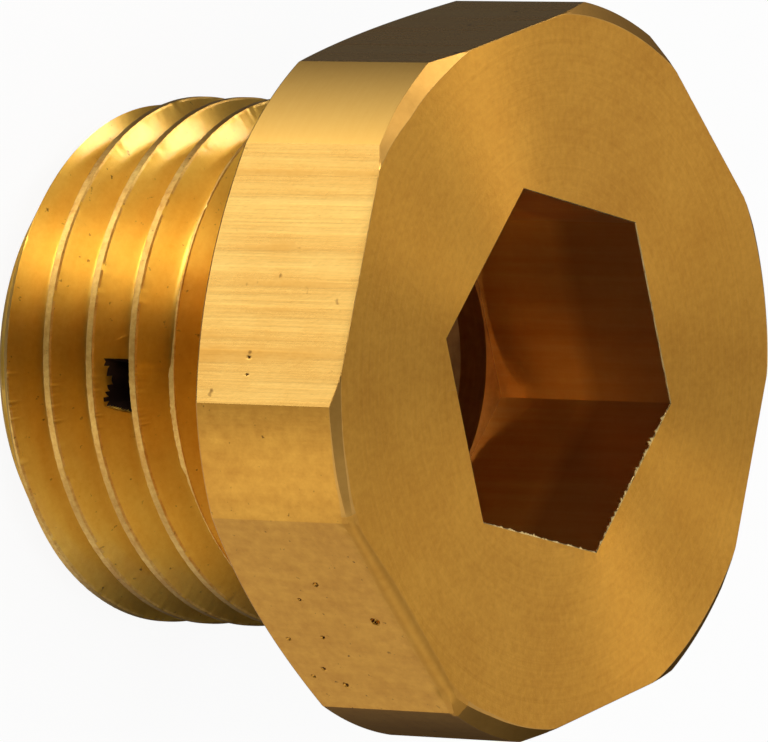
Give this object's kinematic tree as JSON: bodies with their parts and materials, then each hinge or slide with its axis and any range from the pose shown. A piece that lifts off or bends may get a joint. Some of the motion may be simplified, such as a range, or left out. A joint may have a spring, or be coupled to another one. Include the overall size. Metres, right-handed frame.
{
  "type": "hex socket plug",
  "caption": "Turned brass pipe plug: hexagon head with an internal hex socket, undercut neck and a short parallel pipe thread.",
  "frame": {"origin": "centre of the shank's end face, which the plug stands on", "axes": "+Z along the plug's axis, from the shank's end to the head; two of the head's flats face +Y and -Y, and two of its corners lie on the X axis"},
  "size_m": [0.0182, 0.017, 0.0132],
  "materials": {
    "brass": "machined: satin turned face, drawn flats, glossy thread"
  },
  "bodies": {
    "root": {"plug": "brass"}
  },
  "joints": []
}
